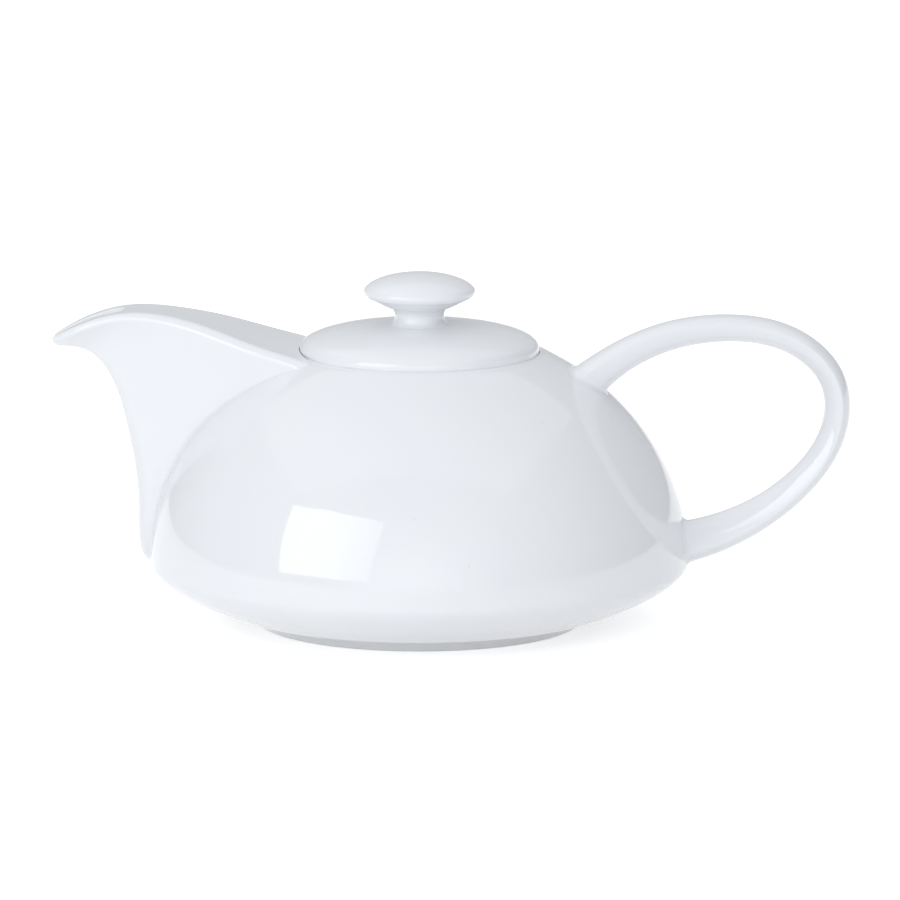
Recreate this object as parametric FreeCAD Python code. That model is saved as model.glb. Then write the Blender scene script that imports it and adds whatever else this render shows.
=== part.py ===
import FreeCAD, Part
import math
import os

# Porcelain teapot in millimetres: the foot stands on Z = 0, the pot's axis is Z,
# the spout points to -X and the handle to +X.

# Pot
belly_radius = 88.8        # widest circle of the pot
belly_height = 20.5        # of that circle above the table
dome_rise = 78.7           # of the dome's full half ellipse above the widest circle
pot_wall = 4.0
floor_thickness = 4.8
foot_radius = 53.0         # outer edge of the foot where it stands
foot_flare = 3.0           # the foot's wall leans out by this much
foot_height = 3.0
foot_ring_width = 5.0
base_recess = 2.0          # hollow under the base inside the foot ring

# Lid and the gallery that it sits in
lid_radius = 39.5
lid_edge_height = 3.3      # from the ledge up to the lid's widest circle
lid_rise = 9.4             # from there to the top of the dome
lid_thickness = 4.4
lid_hollow_rise = 5.5      # of the dome on the lid's underside
lid_edge_round = 1.2
lid_clearance = 0.5        # round the lid's edge and round its flange
seat_depth = 3.7
ledge_width = 4.3
gallery_thickness = 4.0
rim_round = 0.9
flange_depth = 10.0
flange_wall = 3.0
vent_radius = 1.5
vent_offset = 25.0         # behind the knob

# Knob
knob_radius = 18.4
knob_height = 16.9         # from the top of the lid's dome to the top of the cap
knob_cap_rise = 6.1
knob_stem_radius = 8.2
knob_base_radius = 10.6
knob_sink = 3.0            # the knob is drawn this far into the lid, then trimmed to it

# Spout
spout_reach = 32.8         # from the belly to the tip
spout_crown = 12.9         # of the roof above the pot's rim
spout_half_width = 27.4    # of the roof near the pot
spout_wall = 3.5
spout_keel_round = 9.0     # at the pot
spout_edge_round = 3.2     # of the roof's edges, at the pot
gutter_half_width = 4.6    # of the pouring gutter at its rear end
gutter_lip_half_width = 2.4
gutter_start = 13.0        # from the belly to the gutter's rear centre
gutter_floor = 2.1         # above the pot's rim
gutter_round = 1.6         # between the gutter's floor and its walls
edge_share = 0.3           # the most of a section's height that its edges' rounding takes
keel_share = 0.4           # and that its keel's rounding takes
channel_keel_round = 0.8   # the least rounding of the keel inside the spout
strainer_hole_radius = 2.5
strainer_pitch = 8.6
strainer_height = 58.0

# Handle
handle_reach = 48.2        # from the belly to the loop's middle line
handle_lift = 0.7          # of the loop's middle line above the dome's full height
handle_foot_height = 28.8  # of the lower root
handle_thickness = 8.7
handle_width = 13.0
handle_squareness = 2.5    # exponent of the section, 2 is an ellipse


def point(x, z, y=0.0):
    return FreeCAD.Vector(x, y, z)


def blend(low, high, share):
    return low + (high - low) * share


def dome_height(radius, half_width, rise, foot):
    """Height of a half-ellipse dome at a radius, for a dome that rises from the height foot."""
    return foot + rise * math.sqrt(1.0 - (radius / half_width) ** 2)


def dome_radius(height, half_width, rise, foot):
    """Radius of the same dome at a height."""
    return half_width * math.sqrt(1.0 - ((height - foot) / rise) ** 2)


# Sizes that follow from the ones above
pot_dome = (belly_radius, dome_rise, belly_height)
inner_dome = (belly_radius - pot_wall, dome_rise - pot_wall, belly_height)
seat_radius = lid_radius + lid_clearance
rim_height = dome_height(seat_radius, *pot_dome)
ledge_height = rim_height - seat_depth
throat_radius = seat_radius - ledge_width
flange_radius = throat_radius - lid_clearance
lid_edge = ledge_height + lid_edge_height
lid_dome = (lid_radius, lid_rise, lid_edge)
lid_top = lid_edge + lid_rise
floor_height = base_recess + floor_thickness


def line(a, b):
    return Part.LineSegment(a, b).toShape()


def arc(a, middle, b):
    return Part.Arc(a, middle, b).toShape()


def quarter_round(a, b, centre):
    """Arc from a to b about a centre."""
    outward = a + b - centre * 2
    outward.normalize()
    return arc(a, centre + outward * (a - centre).Length, b)


def bezier(poles):
    curve = Part.BezierCurve()
    curve.setPoles(poles)
    return curve.toShape()


def dome_arc(half_width, rise, foot, outer_radius, inner_radius):
    """Part of a half ellipse about the axis, from an outer radius up to an inner one."""
    centre = point(0, foot)
    ellipse = Part.Ellipse(point(half_width, foot), point(0, foot + rise), centre)
    first = math.acos(outer_radius / half_width)
    last = math.acos(inner_radius / half_width)
    return Part.ArcOfEllipse(ellipse, first, last).toBSpline().toShape()


def revolve(edges):
    face = Part.Face(Part.Wire(Part.__sortEdges__(edges)))
    return face.revolve(point(0, 0), FreeCAD.Vector(0, 0, 1), 360)


def bowl_curve(low_radius, low_height, high_radius, high_height):
    """The pot's underside: nearly flat at the foot, turning up into the belly."""
    shares = [(0.0, 0.0), (0.34, 0.12), (1.0, 0.66), (1.0, 1.0)]
    return bezier([point(blend(low_radius, high_radius, across), blend(low_height, high_height, up))
                   for across, up in shares])


def pot_outside():
    """Profile of the pot's outer skin from the foot to the rim, as edges and its two end points."""
    foot = point(foot_radius, 0)
    foot_top = point(foot_radius + foot_flare, foot_height)
    rim_radius = seat_radius + rim_round
    edges = [
        line(foot, foot_top),
        bowl_curve(foot_top.x, foot_top.z, belly_radius, belly_height),
        dome_arc(*pot_dome, belly_radius, rim_radius),
    ]
    return edges, foot, point(rim_radius, dome_height(rim_radius, *pot_dome))


def pot_envelope():
    """The pot filled in solid up to its rim, for trimming what is luted onto it."""
    edges, foot, rim = pot_outside()
    edges.append(line(rim, point(0, rim.z)))
    edges.append(line(point(0, rim.z), point(0, 0)))
    edges.append(line(point(0, 0), foot))
    return revolve(edges)


def strainer_holes():
    """Hexagon of holes through the dome, square to the wall behind the spout."""
    radius = dome_radius(strainer_height, *pot_dome)
    outward = point(-radius / belly_radius ** 2, (strainer_height - belly_height) / dome_rise ** 2)
    outward.normalize()
    along = point(outward.z, -outward.x)
    centre = point(-radius, strainer_height)
    places = [centre]
    for i in range(6):
        angle = math.radians(60 * i)
        across = FreeCAD.Vector(0, strainer_pitch * math.cos(angle), 0)
        places.append(centre + across + along * (strainer_pitch * math.sin(angle)))
    through = outward * (3 * pot_wall)
    return [Part.makeCylinder(strainer_hole_radius, through.Length, place - through / 2, outward)
            for place in places]


def make_pot_body():
    edges, foot, rim = pot_outside()
    wall_top = point(seat_radius, rim.z - rim_round)
    ledge_outer = point(seat_radius, ledge_height)
    ledge_inner = point(throat_radius, ledge_height)
    throat_foot = point(throat_radius, ledge_height - gallery_thickness)
    shoulder = point(dome_radius(throat_foot.z, *inner_dome), throat_foot.z)
    floor_edge = point(foot_radius - foot_ring_width / 2, floor_height)
    ring_inner = point(foot_radius - foot_ring_width, 0)
    recess_edge = point(ring_inner.x - base_recess, base_recess)
    edges += [
        quarter_round(rim, wall_top, point(rim.x, wall_top.z)),
        line(wall_top, ledge_outer),
        line(ledge_outer, ledge_inner),
        line(ledge_inner, throat_foot),
        line(throat_foot, shoulder),
        dome_arc(*inner_dome, inner_dome[0], shoulder.x),
        bowl_curve(floor_edge.x, floor_edge.z, inner_dome[0], belly_height),
        line(floor_edge, point(0, floor_height)),
        line(point(0, floor_height), point(0, base_recess)),
        line(point(0, base_recess), recess_edge),
        line(recess_edge, ring_inner),
        line(ring_inner, foot),
    ]
    return revolve(edges).cut(strainer_holes())


# The spout's sections run from its keel to its roof. Each row gives, as shares of the
# named sizes: how far out and how high the keel is, how far out and how high the roof is,
# the roof's half width, and the rounding of the keel and of the roof's edges; then how far
# the side wall bows in, in radians.
SPOUT_SECTIONS = [
    (-0.08, -0.06, -1.15, -0.072, 0.98, 1.0, 1.0, 0.26),
    (0.11, 0.04, -0.90, 0.005, 1.00, 1.0, 1.0, 0.26),
    (0.137, 0.27, -0.70, 0.185, 0.96, 0.89, 0.97, 0.26),
    (0.226, 0.58, -0.43, 0.615, 0.775, 0.72, 0.91, 0.20),
    (0.372, 0.82, -0.12, 0.945, 0.525, 0.56, 0.84, 0.12),
    (0.57, 0.953, 0.31, 0.945, 0.41, 0.38, 0.75, 0.05),
    (0.78, 0.995, 0.74, 0.60, 0.32, 0.24, 0.56, 0.03),
    (0.965, 1.002, 0.985, 0.30, 0.17, 0.14, 0.32, 0.03),
]
CHANNEL_SECTIONS = SPOUT_SECTIONS[:6]


def spout_section(row, inset=0.0):
    """Rounded V from keel to roof, as a wire; inset moves it inward all round."""
    keel_out, keel_up, roof_out, roof_up, breadth, keel_rounding, edge_rounding, bow = row
    keel = point(-(belly_radius + spout_reach * keel_out), blend(belly_height, rim_height, keel_up))
    if roof_out < 0:
        roof_x = -blend(belly_radius, seat_radius, -roof_out)
    else:
        roof_x = -(belly_radius + spout_reach * roof_out)
    roof = point(roof_x, rim_height + spout_crown * roof_up)
    up = roof - keel
    length = up.Length - 2 * inset
    up.normalize()
    keel = keel + up * inset
    half = spout_half_width * breadth - inset
    edge_round = min(spout_edge_round * edge_rounding, length * edge_share)
    keel_round = max(spout_keel_round * keel_rounding - inset, channel_keel_round)
    keel_round = min(keel_round, length * keel_share)

    # Tangent from the keel's circle to the edge's circle
    gap_along = length - edge_round - keel_round
    gap_across = half - edge_round
    reach = math.hypot(gap_along, gap_across)
    lean = math.atan2(gap_across, gap_along) + math.asin((edge_round - keel_round) / reach)

    def on_keel(angle):
        return keel_round - keel_round * math.sin(angle), keel_round * math.cos(angle)

    def on_edge(angle):
        return length - edge_round * (1 + math.sin(angle)), half - edge_round * (1 - math.cos(angle))

    low = on_keel(lean - bow)
    high = on_edge(lean + bow)
    sag = math.hypot(high[0] - low[0], high[1] - low[1]) * math.tan(bow / 2) / 2
    middle = ((low[0] + high[0]) / 2 + sag * math.sin(lean),
              (low[1] + high[1]) / 2 - sag * math.cos(lean))
    bend = on_edge((lean + bow - math.pi / 2) / 2)
    top = (length, half - edge_round)

    def left(p):
        return keel + up * p[0] + FreeCAD.Vector(0, -p[1], 0)

    def right(p):
        return keel + up * p[0] + FreeCAD.Vector(0, p[1], 0)

    return Part.Wire([
        arc(left(low), keel, right(low)),
        arc(right(low), right(middle), right(high)),
        arc(right(high), right(bend), right(top)),
        line(right(top), left(top)),
        arc(left(top), left(bend), left(high)),
        arc(left(high), left(middle), left(low)),
    ])


def spout_channel():
    """Inside of the spout, a wall's thickness in from its skin, up to where the gutter takes over."""
    return Part.makeLoft([spout_section(row, spout_wall) for row in CHANNEL_SECTIONS], True)


def gutter_slot():
    """Open groove in the roof, from its round rear end out over the tip."""
    rear = -(belly_radius + gutter_start)
    tip = -(belly_radius + spout_reach)
    front = tip - gutter_start
    floor = rim_height + gutter_floor
    wide = gutter_half_width
    narrow = gutter_lip_half_width
    outline = Part.Wire([
        arc(point(rear, floor, wide), point(rear + wide, floor), point(rear, floor, -wide)),
        line(point(rear, floor, -wide), point(tip, floor, -narrow)),
        line(point(tip, floor, -narrow), point(front, floor, -narrow)),
        line(point(front, floor, -narrow), point(front, floor, narrow)),
        line(point(front, floor, narrow), point(tip, floor, narrow)),
        line(point(tip, floor, narrow), point(rear, floor, wide)),
    ])
    slot = Part.Face(outline).extrude(FreeCAD.Vector(0, 0, 2 * spout_crown))
    floor_edges = [edge for edge in slot.Edges if edge.BoundBox.ZMax < floor + gutter_round]
    return slot.makeFillet(gutter_round, floor_edges)


def make_spout(envelope):
    beak = Part.makeLoft([spout_section(row) for row in SPOUT_SECTIONS], True)
    mouth = Part.makeCylinder(seat_radius + rim_round, 2 * rim_height)
    return beak.cut([spout_channel(), gutter_slot(), mouth, envelope])


def handle_section(centre, direction, thickness, width):
    """Rounded section square to the loop: thickness in its plane, width across it."""
    normal = FreeCAD.Vector(-direction.z, 0, direction.x)
    count = 16
    points = []
    for i in range(count):
        angle = 2 * math.pi * i / count
        cosine = math.cos(angle)
        sine = math.sin(angle)
        along = math.copysign(abs(cosine) ** (2 / handle_squareness), cosine) * thickness / 2
        across = math.copysign(abs(sine) ** (2 / handle_squareness), sine) * width / 2
        points.append(centre + normal * along + FreeCAD.Vector(0, across, 0))
    section = Part.BSplineCurve()
    section.interpolate(points, PeriodicFlag=True)
    return Part.Wire(section.toShape())


# The handle's loop from its upper root to its lower one. Each row gives how far out and how
# high it is, as shares of the reach and of the height between the roots, then its thickness
# and its width as shares of the named ones.
HANDLE_STATIONS = [
    (-0.75, 0.70, 1.55, 1.28),
    (-0.53, 0.822, 1.27, 1.12),
    (-0.18, 0.945, 1.11, 1.03),
    (0.28, 0.997, 1.02, 1.0),
    (0.72, 0.937, 0.98, 1.0),
    (0.99, 0.75, 0.97, 1.0),
    (0.995, 0.53, 1.0, 1.0),
    (0.763, 0.279, 1.11, 1.02),
    (0.363, 0.083, 1.34, 1.08),
    (0.004, -0.006, 1.58, 1.18),
    (-0.22, -0.035, 1.70, 1.24),
]


def make_handle(envelope):
    top = belly_height + dome_rise + handle_lift
    centres = [point(belly_radius + handle_reach * out, blend(handle_foot_height, top, up))
               for out, up, _, _ in HANDLE_STATIONS]
    path = Part.BSplineCurve()
    path.interpolate(centres)
    sections = []
    for centre, (_, _, thick, wide) in zip(centres, HANDLE_STATIONS):
        direction = path.tangent(path.parameter(centre))[0]
        sections.append(handle_section(centre, direction, handle_thickness * thick, handle_width * wide))
    return Part.makeLoft(sections, True).cut(envelope)


def make_lid():
    seat = point(lid_radius - lid_edge_round, ledge_height)
    edge_low = point(lid_radius, ledge_height + lid_edge_round)
    flange_top = point(flange_radius, ledge_height)
    flange_low = ledge_height - flange_depth
    flange_inside = flange_radius - flange_wall
    hollow_top = lid_top - lid_thickness
    hollow_dome = (lid_radius - flange_wall, lid_hollow_rise, hollow_top - lid_hollow_rise)
    hollow_edge = point(flange_inside, dome_height(flange_inside, *hollow_dome))
    edges = [
        dome_arc(*lid_dome, lid_radius, 0.0),
        line(point(lid_radius, lid_edge), edge_low),
        quarter_round(edge_low, seat, point(seat.x, edge_low.z)),
        line(seat, flange_top),
        line(flange_top, point(flange_radius, flange_low)),
        line(point(flange_radius, flange_low), point(flange_inside, flange_low)),
        line(point(flange_inside, flange_low), hollow_edge),
        dome_arc(*hollow_dome, flange_inside, 0.0),
        line(point(0, hollow_top), point(0, lid_top)),
    ]
    vent = Part.makeCylinder(vent_radius, 2 * lid_rise, point(0, lid_edge, vent_offset))
    return revolve(edges).cut(vent)


def make_lid_knob(lid):
    """Mushroom knob: a waisted stem that flares out into a cap with a thin edge."""
    cap_edge = lid_top + knob_height - knob_cap_rise
    foot = lid_top - knob_sink
    base = point(knob_base_radius, dome_height(knob_base_radius, *lid_dome))
    cap_top = point(0, cap_edge + knob_cap_rise)

    def stem_pole(radius, share):
        return point(radius, blend(lid_top, cap_edge, share))

    stem = [
        base,
        stem_pole(0.92 * knob_stem_radius, 0.15),
        stem_pole(0.89 * knob_stem_radius, 0.52),
        stem_pole(blend(knob_stem_radius, knob_radius, 0.43), 0.73),
        stem_pole(0.98 * knob_radius, 0.83),
        stem_pole(knob_radius, 1.0),
    ]
    cap = [
        stem[-1],
        point(knob_radius, cap_edge + 0.4 * knob_cap_rise),
        point(0.6 * knob_radius, cap_top.z),
        cap_top,
    ]
    edges = [
        line(point(0, foot), point(knob_base_radius, foot)),
        line(point(knob_base_radius, foot), base),
        bezier(stem),
        bezier(cap),
        line(cap_top, point(0, foot)),
    ]
    return revolve(edges).cut(lid)


envelope = pot_envelope()
lid = make_lid()
pieces = {
    "pot_body": make_pot_body(),
    "spout": make_spout(envelope),
    "handle": make_handle(envelope),
    "lid": lid,
    "lid_knob": make_lid_knob(lid),
}

os.makedirs("parts", exist_ok=True)
for name, shape in pieces.items():
    shape.exportStep("parts/" + name + ".step")
    print(name, shape.isValid(), len(shape.Solids), round(shape.Volume / 1000, 2), "ml")
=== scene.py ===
"""White porcelain teapot, built on its CAD frame and laid out as an add-on that runs as a script."""

import math

import bmesh
import bpy
import numpy as np
from bpy.props import FloatProperty, FloatVectorProperty, PointerProperty
from bpy.types import Operator, Panel, PropertyGroup
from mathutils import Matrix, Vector


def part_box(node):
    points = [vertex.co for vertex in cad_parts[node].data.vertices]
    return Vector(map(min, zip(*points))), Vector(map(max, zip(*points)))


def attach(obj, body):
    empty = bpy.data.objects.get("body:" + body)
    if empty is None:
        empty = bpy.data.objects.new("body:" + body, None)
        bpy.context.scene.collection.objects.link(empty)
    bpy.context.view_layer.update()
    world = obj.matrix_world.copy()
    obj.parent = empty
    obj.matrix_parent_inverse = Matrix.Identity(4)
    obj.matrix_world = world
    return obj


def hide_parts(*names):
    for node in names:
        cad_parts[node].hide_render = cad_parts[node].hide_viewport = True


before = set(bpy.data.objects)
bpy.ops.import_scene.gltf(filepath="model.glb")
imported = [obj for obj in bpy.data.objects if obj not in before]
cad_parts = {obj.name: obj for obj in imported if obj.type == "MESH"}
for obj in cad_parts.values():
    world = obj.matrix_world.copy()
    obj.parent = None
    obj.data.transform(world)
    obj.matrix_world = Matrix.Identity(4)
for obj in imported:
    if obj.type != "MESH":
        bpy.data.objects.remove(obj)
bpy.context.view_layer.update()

bl_info = {
    "name": "Porcelain teapot",
    "version": (1, 0, 0),
    "blender": (4, 5, 0),
    "location": "View3D > Sidebar > Teapot",
    "description": "Builds a white porcelain teapot with a lift-off lid on its CAD frame",
    "category": "Add Mesh",
}

MM = 0.001
POT_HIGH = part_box("pot_body")[1]
LID_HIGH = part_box("lid")[1]
KNOB_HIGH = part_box("lid_knob")[1]
SPOUT_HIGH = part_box("spout")[1]

# How deep the edge of a joined-on piece goes under the surface that it meets
TUCK = 0.02 * MM
FILLET_STEPS = 8

# Angles above which an edge is shaded sharp, on drilled and on formed pieces
DRILLED_CREASE = math.radians(50)
FORMED_CREASE = math.radians(70)

# Typical refractive indices
GLAZE_IOR = 1.54
BISCUIT_IOR = 1.5

# The studio round the pot: sizes and places in metres, and levels of glow
TABLE_SIDE = 12.0
TABLE_GLOW = 0.08
TABLE_GLOW_SEEN = 0.55
SOFTBOX_SIZE = (0.75, 0.57)
SOFTBOX_AZIMUTH = math.radians(-35.3)
SOFTBOX_ELEVATION = math.radians(18.5)
SOFTBOX_DISTANCE = 1.0
SOFTBOX_AIM = 50 * MM
OVERHEAD_SIZE = (2.0, 1.6)
OVERHEAD_PLACE = (-0.10, 0.15, 1.05)
ROOM_LEVEL = 0.02


def length(name, description, default):
    """A size in metres."""
    return FloatProperty(name=name, description=description, default=default, unit="LENGTH", precision=5)


def brightness(name, description, default):
    """Level of one part of the light."""
    return FloatProperty(name=name, description=description, default=default, min=0.0)


def wattage(name, description, default):
    """Power of a lamp in watts."""
    return FloatProperty(name=name, description=description, default=default, min=0.0, unit="POWER")


def linear(code):
    """Linear colour of an sRGB hex code."""
    shares = [int(code[i:i + 2], 16) / 255 for i in (1, 3, 5)]
    return tuple(s / 12.92 if s <= 0.04045 else ((s + 0.055) / 1.055) ** 2.4 for s in shares)


def colour(name, description, code):
    return FloatVectorProperty(name=name, description=description, default=linear(code),
                               subtype="COLOR", size=3, min=0.0, max=1.0)


class PotSizes(PropertyGroup):
    """Sizes of the pot and of the gallery that its lid sits in"""

    belly_radius: length("Belly radius", "Widest circle of the pot", POT_HIGH[1])
    belly_height: length("Belly height", "Height of that circle above the table", 20.5 * MM)
    dome_rise: length("Dome rise", "Full half ellipse above the belly", 78.7 * MM)
    wall: length("Wall", "Thickness of the pot's wall", 4.0 * MM)
    floor_thickness: length("Floor", "Thickness of the pot's floor", 4.8 * MM)
    foot_radius: length("Foot radius", "Outer edge of the foot where it stands", 53.0 * MM)
    foot_flare: length("Foot flare", "How far the foot's wall leans out", 3.0 * MM)
    foot_height: length("Foot height", "Height of the foot's wall", 3.0 * MM)
    foot_ring_width: length("Foot ring width", "Width of the ring that stands on the table", 5.0 * MM)
    base_recess: length("Base recess", "Depth of the hollow inside the foot ring", 2.0 * MM)
    rim_round: length("Rim rounding", "Rounding of the mouth's rim", 0.9 * MM)
    seat_depth: length("Seat depth", "From the rim down to the ledge", 3.7 * MM)
    ledge_width: length("Ledge width", "Width of the ledge under the lid", 4.3 * MM)
    gallery_thickness: length("Gallery thickness", "Thickness of the ledge", 4.0 * MM)
    hole_radius: length("Strainer hole radius", "Holes in the wall behind the spout", 2.5 * MM)
    hole_pitch: length("Strainer pitch", "Distance between those holes", 8.6 * MM)
    hole_height: length("Strainer height", "Height of the middle hole", 58.0 * MM)


class LidSizes(PropertyGroup):
    """Sizes of the lid and its knob"""

    radius: length("Lid radius", "Widest circle of the lid", LID_HIGH[1])
    clearance: length("Clearance", "Gap round the lid and round its flange", 0.5 * MM)
    edge_height: length("Edge height", "From the ledge up to the lid's widest circle", 3.3 * MM)
    rise: length("Rise", "From there to the top of the dome", 9.4 * MM)
    band: length("Band", "Upright part of the edge above the rim", 0.9 * MM)
    thickness: length("Thickness", "Thickness of the dome", 4.4 * MM)
    hollow_rise: length("Hollow rise", "Rise of the dome on the underside", 5.5 * MM)
    edge_round: length("Edge rounding", "Rounding of the lid's lower edge", 0.7 * MM)
    fullness: FloatProperty(name="Fullness", description="Exponent of the dome's outline, 2 is an ellipse",
                            default=2.3, min=2.0, max=4.0)
    flange_depth: length("Flange depth", "Collar that hangs into the mouth", 10.0 * MM)
    flange_wall: length("Flange wall", "Thickness of that collar", 3.0 * MM)
    vent_radius: length("Vent radius", "Air hole behind the knob", 1.5 * MM)
    vent_offset: length("Vent offset", "From the axis to the air hole", 25.0 * MM)
    knob_radius: length("Knob radius", "Edge of the knob's cap", KNOB_HIGH[1])
    knob_top: length("Knob top", "Height of the knob above the table", KNOB_HIGH[2])
    knob_cap_rise: length("Cap rise", "From the cap's edge to its top", 6.1 * MM)
    knob_stem_radius: length("Stem radius", "Waist of the knob", 8.2 * MM)
    knob_base_radius: length("Base radius", "Foot of the knob on the lid", 8.8 * MM)
    knob_fillet: length("Knob fillet", "Glaze pooled round the knob's foot", 1.4 * MM)


class SpoutSizes(PropertyGroup):
    """Sizes of the spout and its pouring gutter"""

    reach: length("Reach", "From the belly to the tip", 32.8 * MM)
    crown: length("Crown", "Height of the roof above the pot's rim", 12.9 * MM)
    half_width: length("Half width", "Half the roof's width near the pot", SPOUT_HIGH[1])
    wall: length("Wall", "Thickness of the spout's wall", 3.5 * MM)
    keel_round: length("Keel rounding", "Rounding of the keel at the pot", 9.0 * MM)
    edge_round: length("Edge rounding", "Rounding of the roof's edges at the pot", 3.2 * MM)
    gutter_half_width: length("Gutter half width", "Half the gutter's width at its rear", 4.6 * MM)
    lip_half_width: length("Lip half width", "Half the gutter's width at the tip", 2.4 * MM)
    gutter_start: length("Gutter start", "From the belly to the centre of its rear end", 13.0 * MM)
    root_fillet: length("Root fillet", "Fillet where the side walls meet the pot", 1.9 * MM)
    roof_fillet: length("Roof fillet", "Fillet where the roof meets the rim", 0.05 * MM)


class HandleSizes(PropertyGroup):
    """Sizes of the loop handle"""

    reach: length("Reach", "From the belly to the loop's middle line", 48.2 * MM)
    lift: length("Lift", "Height of the middle line above the dome's full height", 0.7 * MM)
    foot_height: length("Foot height", "Height of the lower root", 28.8 * MM)
    thickness: length("Thickness", "Of the section, in the loop's plane", 8.7 * MM)
    width: length("Width", "Of the section, across the loop", 13.0 * MM)
    edge: FloatProperty(name="Edge", description="1 is an elliptic section, more draws its sides to an edge",
                        default=1.35, min=1.0, max=2.0)
    crest: FloatProperty(name="Crest", description="Share of the thickness that lies outside the widest line",
                         default=0.26, min=0.1, max=0.9)
    root_fillet: length("Root fillet", "Fillet where the handle meets the pot", 2.2 * MM)


class PorcelainLook(PropertyGroup):
    """Colours and surface of the glazed porcelain"""

    glaze: colour("Glaze", "White glaze over the porcelain", "#F4F5F7")
    pooled: colour("Pooled glaze", "Where the glaze lies a little thicker", "#F0F2F5")
    speck: colour("Speck", "Small iron specks under the glaze", "#C9C5BE")
    biscuit: colour("Biscuit", "Bare fired body where it stands or was stacked", "#DFDBD2")
    roughness: FloatProperty(name="Gloss roughness", description="Roughness of the fired glaze",
                             default=0.045, min=0.0, max=1.0)
    ripple: length("Ripple size", "Waves that the glaze sets in", 6.0 * MM)
    ripple_depth: length("Ripple depth", "Height of those waves", 0.03 * MM)
    speck_spacing: length("Speck spacing", "Typical distance between places for a speck", 9.0 * MM)
    speck_radius: length("Speck radius", "Size of a speck", 0.22 * MM)


class StageLook(PropertyGroup):
    """Camera, lamps and floor"""

    azimuth: FloatProperty(name="Azimuth", description="Camera's turn towards the handle",
                           default=math.radians(5.0), subtype="ANGLE")
    elevation: FloatProperty(name="Elevation", description="Camera's height above the horizon",
                             default=math.radians(10.3), subtype="ANGLE")
    distance: length("Distance", "From the camera to the pot's middle", 4.0)
    aim_height: length("Aim height", "Height that the camera looks at", 55.0 * MM)
    frame_width: length("Frame width", "Width of the picture at the pot", 900 * 0.33 * MM)
    shift_x: FloatProperty(name="Shift right", description="Share of the picture's width", default=0.0339)
    shift_y: FloatProperty(name="Shift up", description="Share of the picture's width", default=0.0078)
    floor: colour("Floor", "Matt white table", "#F2F2F2")
    light: colour("Light", "Cool white of the lamps", "#FAFCFF")
    key: wattage("Key light", "Power of the lamp at the front left", 1.92)
    glare: brightness("Softbox", "Brightness of that lamp's softbox in the glaze", 3.4)
    overhead: wattage("Overhead", "Power of the panel above the pot", 4.1)
    above: brightness("Above", "Level of the broad light from above", 0.41)
    front: brightness("Front", "Level of the low light from the front", 1.47)
    left: brightness("Left", "Level of the broad light from the left", 0.55)
    right: brightness("Right", "Level of the broad light from the front right", 0.68)
    behind: brightness("Behind", "Level of the broad light from behind", 0.54)


def lerp(low, high, share):
    return low + (high - low) * share


def bezier(poles, count):
    """Points along a Bezier curve."""
    poles = np.asarray(poles, float)
    degree = len(poles) - 1
    share = np.linspace(0.0, 1.0, count)
    weights = [math.comb(degree, i) * share ** i * (1 - share) ** (degree - i) for i in range(degree + 1)]
    return np.stack(weights, axis=1) @ poles


def spline(knots, values, places):
    """Natural cubic spline through values at the knots, read at other places."""
    last = len(knots) - 1
    gaps = np.diff(knots)
    system = np.eye(last + 1)
    pull = np.zeros_like(values)
    for i in range(1, last):
        system[i, i - 1:i + 2] = gaps[i - 1], 2 * (gaps[i - 1] + gaps[i]), gaps[i]
        pull[i] = 6 * ((values[i + 1] - values[i]) / gaps[i] - (values[i] - values[i - 1]) / gaps[i - 1])
    bend = np.linalg.solve(system, pull)
    i = np.clip(np.searchsorted(knots, places) - 1, 0, last - 1)
    ahead = ((places - knots[i]) / gaps[i])[:, None]
    behind = 1 - ahead
    curl = (behind ** 3 - behind) * bend[i] + (ahead ** 3 - ahead) * bend[i + 1]
    return behind * values[i] + ahead * values[i + 1] + curl * (gaps[i] ** 2 / 6)[:, None]


def lengths_along(points):
    """Length along a line of points, from the first one to each."""
    runs = np.linalg.norm(np.diff(points, axis=0), axis=1)
    return np.concatenate(((0.0,), np.cumsum(runs)))


def dome(half_width, rise, foot, first_radius, last_radius, count, fullness=2.0):
    """Points of a dome about the axis, between two radii, as (radius, height). Fullness 2 is an ellipse."""
    shares = [radius / half_width for radius in (first_radius, last_radius)]
    first, last = [math.acos(share ** (fullness / 2)) for share in shares]
    angles = np.linspace(first, last, count)
    share = 2 / fullness
    return np.column_stack((half_width * np.cos(angles) ** share, foot + rise * np.sin(angles) ** share))


def dome_height(radius, half_width, rise, foot, fullness=2.0):
    return foot + rise * (1.0 - (radius / half_width) ** fullness) ** (1 / fullness)


def soften(corners, steps=6):
    """Profile from rows of (radius, height, rounding), with each corner rounded."""
    points = []
    for i, (radius, height, rounding) in enumerate(corners):
        corner = np.array((radius, height))
        if not rounding:
            points.append(corner[None])
            continue
        before = np.array(corners[i - 1][:2]) - corner
        after = np.array(corners[i + 1][:2]) - corner
        before *= rounding / np.linalg.norm(before)
        after *= rounding / np.linalg.norm(after)
        points.append(bezier([corner + before, corner, corner + after], steps))
    return np.concatenate(points)


def plain(points):
    """Profile points as corners with no rounding."""
    return [(radius, height, 0.0) for radius, height in points]


def shaded_object(name, vertices, faces):
    """Object of a closed mesh, smooth, with its faces turned outward."""
    mesh = bpy.data.meshes.new(name)
    mesh.from_pydata([tuple(v) for v in vertices], [], faces)
    shell = bmesh.new()
    shell.from_mesh(mesh)
    bmesh.ops.recalc_face_normals(shell, faces=shell.faces)
    shell.to_mesh(mesh)
    shell.free()
    mesh.shade_smooth()
    piece = bpy.data.objects.new(name, mesh)
    bpy.context.scene.collection.objects.link(piece)
    return piece


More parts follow.
